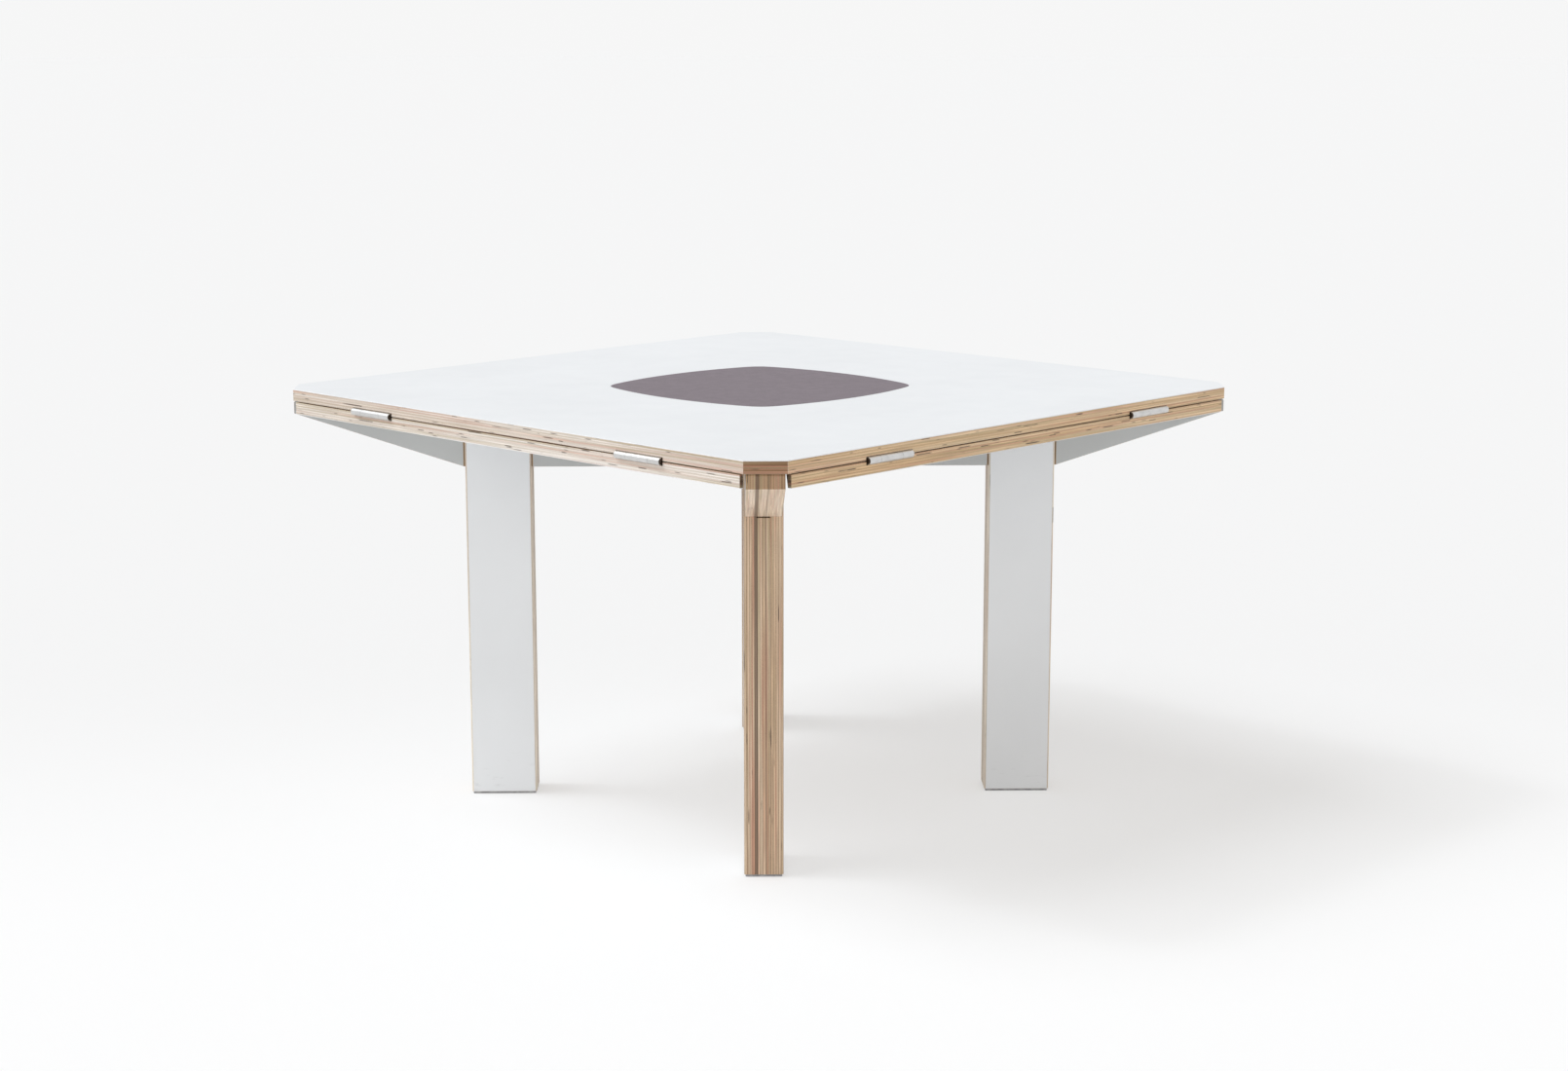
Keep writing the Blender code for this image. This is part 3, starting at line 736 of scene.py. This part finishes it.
# Catch magnets: a nickelled disc pressed into the underside of the top over each leaf's tip. It
# holds the folded leaf up by a thin keeper disc on the leaf.
SIDES = ("front", "right", "back", "left")
MAGNET_EDGE = 0.0005
NICKEL = (0.72, 0.70, 0.66, 1)
NICKEL_DULL = (0.58, 0.56, 0.52, 1)
NICKELLED = brushed("nickelled_magnet", NICKEL, NICKEL_DULL, (200, 200, 200), 0.16, 0.3)
for side in SIDES:
    low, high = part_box(f"catch_magnet_{side}")
    centre = (low + high) / 2
    disc = turned(rounded_disc((high.x - low.x) / 2, low.z, high.z, MAGNET_EDGE))
    bmesh.ops.translate(disc, verts=disc.verts, vec=(centre.x, centre.y, 0))
    mesh = smooth(as_mesh(disc))
    node = f"catch_magnet_{side}"
    piece(f"magnet_disc_{side}", mesh, [NICKELLED], "frame", "magnet_steel", node)


# Hinges: two steel butt hinges along each edge. One half is screwed to the top and the other to
# its leaf, both let in flush, with the knuckles standing out of the seam on a dark loose pin.
HINGE_LENGTH, HINGE_MIDDLE = 0.100, 0.050
BARREL, PIN, PIN_FIT, PLAY = 0.006, 0.003, 0.0004, 0.0004
PLATE, PLATE_REACH, PLATES_APART = 0.002, 0.035, 0.0003
# Each screw: its place along the hinge, and out from the pin.
SCREWS_ALONG = ((-0.036, 0.016), (0.0, 0.025), (0.036, 0.016))
KNUCKLE_ROOM = 0.0008
PIN_PAST_END = 0.0004
PIN_HEAD = (
    (0, 0.0012), (0.0034, 0.0012), (0.0045, 0.0008), (0.0048, 0.0003), (0.0048, 0), (PIN, 0),
)
SCREW_HEAD, SCREW_NECK, SCREW_SUNK = 0.0037, 0.0016, 0.00008
SCREW_ROOM, SINK_SPARE = 0.00025, 0.0002
SCREW_SIDES = 32
RECESS = {"Recess_length": 0.0042, "Recess_width": 0.0009, "Recess_depth": 0.0012}
TOP_SEED, LEAF_SEED = 3, 11
STEEL = (0.70, 0.695, 0.685, 1)
STEEL_DULL = (0.54, 0.535, 0.525, 1)
PIN_DARK = (0.050, 0.038, 0.030, 1)
PIN_WORN = (0.105, 0.088, 0.074, 1)


def block(low, high):
    """A square block between two opposite corners."""
    shape = bmesh.new()
    bmesh.ops.create_cube(shape, size=1)
    low, high = Vector(low), Vector(high)
    bmesh.ops.scale(shape, verts=shape.verts, vec=high - low)
    bmesh.ops.translate(shape, verts=shape.verts, vec=(low + high) / 2)
    return as_mesh(shape)


def bar(radius, start, end):
    """A round bar along the hinge."""
    shape = bmesh.new()
    bmesh.ops.create_cone(
        shape, cap_ends=True, segments=ROUND, radius1=radius, radius2=radius, depth=end - start
    )
    turn = Matrix.Rotation(math.radians(90), 4, "Y")
    bmesh.ops.transform(shape, matrix=turn, verts=shape.verts)
    bmesh.ops.translate(shape, verts=shape.verts, vec=((start + end) / 2, 0, 0))
    return as_mesh(shape)


def hinge_half(lower):
    """A plate with its knuckles and countersunk holes, along X on the hinge's own axis."""
    half = HINGE_LENGTH / 2
    near, far = PLATES_APART / 2, PLATES_APART / 2 + PLATE
    span = (-far, -near) if lower else (near, far)
    plate = block(
        (-half, (PIN + PIN_FIT + BARREL) / 2, span[0]), (half, PLATE_REACH, span[1])
    )
    steps = [("UNION", bar(BARREL, -half, half)), ("DIFFERENCE", bar(PIN + PIN_FIT, -1, 1))]
    inner, outer = HINGE_MIDDLE / 2 - PLAY / 2, HINGE_MIDDLE / 2 + PLAY / 2
    gaps = [(-1, -inner), (inner, 1)] if lower else [(-outer, outer)]
    reach = BARREL + KNUCKLE_ROOM
    for start, end in gaps:
        steps.append(("DIFFERENCE", block((start, -reach, -reach), (end, reach, reach))))
    flare = SCREW_HEAD - SCREW_NECK
    for x, y in SCREWS_ALONG:
        sink = bmesh.new()
        bmesh.ops.create_cone(
            sink, cap_ends=True, segments=ROUND, depth=2 * (PLATE + SINK_SPARE),
            radius1=SCREW_NECK - flare * SINK_SPARE / PLATE, radius2=SCREW_HEAD + flare,
        )
        if not lower:
            bmesh.ops.rotate(sink, verts=sink.verts, matrix=Matrix.Rotation(math.pi, 3, "X"))
        level = -near if lower else near
        bmesh.ops.translate(sink, verts=sink.verts, vec=(x, y, level))
        steps.append(("DIFFERENCE", as_mesh(sink)))
    return carved(plate, *steps)


def screw_tree():
    """Countersunk cross-head screws on the points of a mesh, each turned its own way."""
    tree, names, given = new_shape_tree(
        "hinge_screws", Places="Geometry", Head_radius="Float", Neck_radius="Float",
        Head_depth="Float", Recess_length="Float", Recess_width="Float", Recess_depth="Float",
        Facing="Vector", Seed="Int", Finish="Material",
    )
    head = shape_node(
        tree, "GeometryNodeMeshCone",
        {"Vertices": SCREW_SIDES, "Radius Top": given["Head_radius"],
         "Radius Bottom": given["Neck_radius"], "Depth": given["Head_depth"]},
    )
    drop = shape_node(
        tree, "ShaderNodeMath", {0: given["Head_depth"], 1: -1.0}, operation="MULTIPLY"
    )
    drop = shape_node(tree, "ShaderNodeCombineXYZ", {2: drop.outputs[0]})
    head = shape_node(
        tree, "GeometryNodeTransform",
        {"Geometry": head.outputs[0], "Translation": drop.outputs[0]},
    )
    deep = shape_node(
        tree, "ShaderNodeMath", {0: given["Recess_depth"], 1: 2.0}, operation="MULTIPLY"
    ).outputs[0]
    bars = []
    for x, y in (("Recess_length", "Recess_width"), ("Recess_width", "Recess_length")):
        size = shape_node(tree, "ShaderNodeCombineXYZ", {0: given[x], 1: given[y], 2: deep})
        bars.append(shape_node(tree, "GeometryNodeMeshCube", {"Size": size.outputs[0]}).outputs[0])
    cross = shape_node(
        tree, "GeometryNodeMeshBoolean", {"Mesh 1": head.outputs[0], "Mesh 2": bars},
        operation="DIFFERENCE",
    )
    spread = shape_node(
        tree, "GeometryNodeInstanceOnPoints",
        {"Points": given["Places"], "Instance": cross.outputs[0], "Rotation": given["Facing"]},
    )
    chance = shape_node(
        tree, "FunctionNodeRandomValue", {"Max": math.pi, "Seed": given["Seed"]}, data_type="FLOAT"
    )
    own_turn = shape_node(tree, "ShaderNodeCombineXYZ", {2: chance.outputs[1]})
    spread = shape_node(
        tree, "GeometryNodeRotateInstances",
        {"Instances": spread.outputs[0], "Rotation": own_turn.outputs[0]},
    )
    close_tree(tree, spread.outputs[0], given["Finish"])
    return tree, names


def screws(name, body, places, facing, seed):
    """All the hinge screws on one body."""
    spots = bpy.data.meshes.new("places")
    spots.from_pydata([tuple(place) for place in places], [], [])
    mesh = grown(
        driven, driven_names, spots, Head_radius=SCREW_HEAD - SCREW_ROOM, Neck_radius=SCREW_NECK,
        Head_depth=PLATE, **RECESS, Facing=facing, Seed=seed, Finish=BRIGHT_STEEL,
    )
    piece(name, smooth(mesh, angle=25), [BRIGHT_STEEL], body, "hinge_steel")


BRIGHT_STEEL = brushed("bright_hinge_steel", STEEL, STEEL_DULL, (60, 60, 900), 0.30, 0.44)
DARK_PIN = brushed("dark_hinge_pin", PIN_DARK, PIN_WORN, (120, 120, 120), 0.35, 0.55)
top_half = as_mesh(whole_faces(hinge_half(lower=False), HAIR))
leaf_half = as_mesh(whole_faces(hinge_half(lower=True), HAIR))
pin_end = HINGE_LENGTH / 2 + PIN_PAST_END
pin_profile = [(radius, pin_end + height) for radius, height in PIN_HEAD]
pin_profile += [(radius, -height) for radius, height in reversed(pin_profile)]
pin_shape = turned(pin_profile)
lengthwise = Matrix.Rotation(math.radians(90), 3, "Y")
bmesh.ops.rotate(pin_shape, verts=pin_shape.verts, matrix=lengthwise)
pin = smooth(as_mesh(pin_shape))
driven, driven_names = screw_tree()
top_places = []
leaf_places = {}
for i, side in enumerate(SIDES):
    leaf_places[side] = []
    for n in (1, 2):
        low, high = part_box(f"hinge_{side}_{n}_pin")
        quarter = Matrix.Rotation(math.radians(90) * i, 4, "Z")
        seat = Matrix.Translation((low + high) / 2) @ quarter
        for part, shape, finish, body in (
            ("top_plate", top_half, BRIGHT_STEEL, "frame"),
            ("leaf_plate", leaf_half, BRIGHT_STEEL, f"leaf_{side}"),
            ("pin", pin, DARK_PIN, "frame"),
        ):
            mesh = smooth(shape.copy(), angle=30)
            mesh.transform(seat)
            node = f"hinge_{side}_{n}_{part}"
            piece(f"butt_hinge_{side}_{n}_{part}", mesh, [finish], body, "hinge_steel", node)
        level = PLATES_APART / 2 + SCREW_SUNK
        for x, y in SCREWS_ALONG:
            top_places.append(seat @ Vector((x, y, level)))
            leaf_places[side].append(seat @ Vector((x, y, -level)))
screws("top_hinge_screws", "frame", top_places, (math.pi, 0, 0), TOP_SEED)
for i, side in enumerate(SIDES):
    seed = LEAF_SEED + i
    screws(f"leaf_hinge_screws_{side}", f"leaf_{side}", leaf_places[side], (0, 0, 0), seed)


# Leaves: four birch boards folded up under the top between the arms, each faced with white
# laminate on the side that comes up when it is swung out, with bare plies on its edges.
LEAF_FACING = 0.0008
SHORTEST_EASED = 0.03
KEEPER_RADIUS, KEEPER_SUNK, KEEPER_PROUD, KEEPER_EDGE = 0.010, 0.001, 0.0002, 0.0001
# The front and back leaves' outer edges take a still paler copy of the lit tone: painted light,
# like the top's edges.
LEAF_PLIES = ((0.80, 0.74, 0.682, 1), (0.665, 0.592, 0.52, 1))
# The leaves' blunt ends are painted near black: painted shade for the narrow gaps beside the arms
# where they sit.
LEAF_END_SHADE_PLIES = ((0.17, 0.105, 0.062, 1), (0.12, 0.072, 0.042, 1))
LEAF_BIRCH = birch_plies("leaf_edge_plies", LEAF_PLIES, knots=EDGE_KNOTS)
LEAF_END_SHADE_BIRCH = birch_plies("leaf_end_painted_shade_plies", LEAF_END_SHADE_PLIES)
LEAF_WHITE = laminate("white_leaf_laminate", TOP_WHITE_FACE, TOP_WHITE_DULL)
INNER_BIRCH = {}
for turn in (0, 90):
    INNER_BIRCH[turn] = birch_veneer(f"leaf_inner_veneer_{turn}", math.radians(turn))
for i, side in enumerate(SIDES):
    outward = Matrix.Rotation(math.radians(90) * i, 3, "Z") @ Vector((0, -1, 0))
    low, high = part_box(f"leaf_{side}")
    board = taken_from(f"leaf_{side}")
    everything = [*board.verts, *board.edges, *board.faces]
    sheet_top = low.z + LEAF_FACING
    bmesh.ops.bisect_plane(
        board, geom=everything, dist=HAIR, plane_co=(0, 0, sheet_top), plane_no=(0, 0, 1)
    )
    for face in board.faces:
        if face.calc_center_median().z < sheet_top:
            face.material_index = 2
        elif abs(face.normal.z) > 0.7:
            face.material_index = 3
        elif abs(face.normal.dot(outward)) < 0.3:
            face.material_index = 1
        elif face.normal.dot(outward) < 0:
            face.material_index = 4
    ease(board, BOARD_EDGE, lambda edge: edge.calc_length() > SHORTEST_EASED)
    outer_birch = SHADE_TONE_BIRCH if i % 2 else LEAF_BIRCH
    inner_birch = INNER_BIRCH[90 * (i % 2)]
    finishes = [outer_birch, LEAF_END_SHADE_BIRCH, LEAF_WHITE, inner_birch, SHADE_TONE_BIRCH]
    piece(f"folding_leaf_{side}", board, finishes, f"leaf_{side}", "birch_plywood", f"leaf_{side}")
    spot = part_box(f"catch_magnet_{side}")
    centre = (spot[0] + spot[1]) / 2
    under, upper = high.z - KEEPER_SUNK, high.z + KEEPER_PROUD
    keeper = turned(rounded_disc(KEEPER_RADIUS, under, upper, KEEPER_EDGE))
    bmesh.ops.translate(keeper, verts=keeper.verts, vec=(centre.x, centre.y, 0))
    mesh = smooth(as_mesh(keeper))
    piece(f"leaf_keeper_{side}", mesh, [NICKELLED], f"leaf_{side}", "magnet_steel")


# Studio: a plain pale floor under a white sky, brightest low down and behind the camera. A broad
# soft light and a small weak one stand on the left. The camera is where the photograph was taken
# from, a little above the top and square to a corner.
FLOOR_REACH = 90.0
FLOOR_NEAR, FLOOR_FAR = (0.949, 0.942, 0.936, 1), (0.886, 0.879, 0.873, 1)
FLOOR_FROM, FLOOR_TO, FLOOR_WAVER = -0.8, 1.1, 0.3
FLOOR_EDGE_FROM, FLOOR_EDGE_TO = 2.0, 5.0
FLOOR_GLOW, GLOW_STRENGTH = 0.50, 1.05
SKY_FRONT, SKY_BACK = (1.05, 1.045, 1.035, 1), (0.66, 0.635, 0.605, 1)
SKY_FRONT_WAY = (0.6, -0.8, 0)
SKY_LOW, SKY_HIGH, SKY_HIGH_FROM = 1.45, 0.44, 0.8
SKY_SEEN = (0.925, 0.925, 0.925, 1)
LIGHT_COLOUR = (0.94, 1.0, 1.06)
BROAD_LIGHT = {"strength": 1.6, "spread": 38, "turn": -2, "height": 56}
SMALL_LIGHT = {"strength": 0.38, "spread": 7, "turn": -5, "height": 50}
VIEW_TURN = math.radians(45)
IMAGE_WIDTH, FOCAL_PIXELS = 1610, 2760.3
CAMERA_PLACE = (3.2945, -3.3582, 1.3739)
CAMERA_TILT, CAMERA_TURN = math.radians(79.070), math.radians(43.937)
SIGHT = 300.0


def seen_rays(tree):
    """1 for what the camera sees, straight or in metal, and 0 for what lights the table."""
    rays = put(tree, "LightPath").outputs
    seen = reckon(tree, "MAXIMUM", rays["Is Camera Ray"], rays["Is Glossy Ray"])
    return reckon(tree, "MAXIMUM", seen, rays["Is Transmission Ray"])


floor_shape = bmesh.new()
bmesh.ops.create_circle(floor_shape, cap_ends=True, segments=64, radius=FLOOR_REACH)
floor = bpy.data.objects.new("floor", as_mesh(floor_shape))
made, tree, shader, place = new_finish("pale_floor")
# The floor's colour is painted lighter near the camera and darker far off, with a slow waver: a
# painted fall-off of light.
away = put(tree, "Mapping", {"Vector": place, "Rotation": (0, 0, -VIEW_TURN)}).outputs[0]
away = put(tree, "SeparateXYZ", {0: away}).outputs[1]
tone = patches(tree, place, 0.4, 2.0)
away = reckon(tree, "MULTIPLY_ADD", tone, FLOOR_WAVER, away)
away = ramp(tree, away, FLOOR_FROM, FLOOR_TO)
far = put(tree, "VectorMath", {0: place}, operation="LENGTH").outputs[1]
far = ramp(tree, far, FLOOR_EDGE_FROM, FLOOR_EDGE_TO)
colour = tint(tree, reckon(tree, "MAXIMUM", away, far), FLOOR_NEAR, FLOOR_FAR)
tree.links.new(colour, shader.inputs["Base Color"])
shader.inputs["Roughness"].default_value = 0.9
shader.inputs["Specular IOR Level"].default_value = 0.1
glow = put(tree, "Emission", {"Color": colour, "Strength": GLOW_STRENGTH})
share = reckon(tree, "MULTIPLY", seen_rays(tree), FLOOR_GLOW)
lit = put(tree, "MixShader", {0: share, 1: shader.outputs[0], 2: glow.outputs[0]})
tree.links.new(lit.outputs[0], tree.nodes["Material Output"].inputs["Surface"])
floor.data.materials.append(made)
bpy.context.scene.collection.objects.link(floor)

sky = bpy.data.worlds.new("white_sky")
sky.use_nodes = True
tree = sky.node_tree
direction = put(tree, "TexCoord").outputs["Generated"]
front = put(tree, "VectorMath", {0: direction, 1: SKY_FRONT_WAY}, operation="DOT_PRODUCT")
front = reckon(tree, "MULTIPLY_ADD", front.outputs[1], 0.5, 0.5)
rise = put(tree, "SeparateXYZ", {0: direction}).outputs[2]
light = tint(tree, front, SKY_BACK, SKY_FRONT)
light = shaded(tree, light, ramp(tree, rise, 0.0, SKY_HIGH_FROM, SKY_LOW, SKY_HIGH))
light = tint(tree, seen_rays(tree), light, SKY_SEEN)
tree.links.new(light, tree.nodes["Background"].inputs["Color"])
bpy.context.scene.world = sky

for name, facts in (("broad_light", BROAD_LIGHT), ("small_light", SMALL_LIGHT)):
    lamp = bpy.data.lights.new(name, "SUN")
    lamp.color = LIGHT_COLOUR
    lamp.energy = facts["strength"]
    lamp.angle = math.radians(facts["spread"])
    stand = bpy.data.objects.new(name, lamp)
    left = VIEW_TURN + math.pi + math.radians(facts["turn"])
    towards = Vector((math.cos(left), math.sin(left), math.tan(math.radians(facts["height"]))))
    stand.rotation_euler = towards.to_track_quat("Z", "Y").to_euler()
    bpy.context.scene.collection.objects.link(stand)

lens = bpy.data.cameras.new("photo_view")
lens.sensor_fit = "HORIZONTAL"
lens.sensor_width = 36.0
lens.lens = lens.sensor_width * FOCAL_PIXELS / IMAGE_WIDTH
lens.clip_end = SIGHT
camera = bpy.data.objects.new("photo_view", lens)
camera.location = CAMERA_PLACE
camera.rotation_euler = (CAMERA_TILT, 0, CAMERA_TURN)
bpy.context.scene.collection.objects.link(camera)
bpy.context.scene.camera = camera
bpy.context.scene.view_settings.view_transform = "Standard"
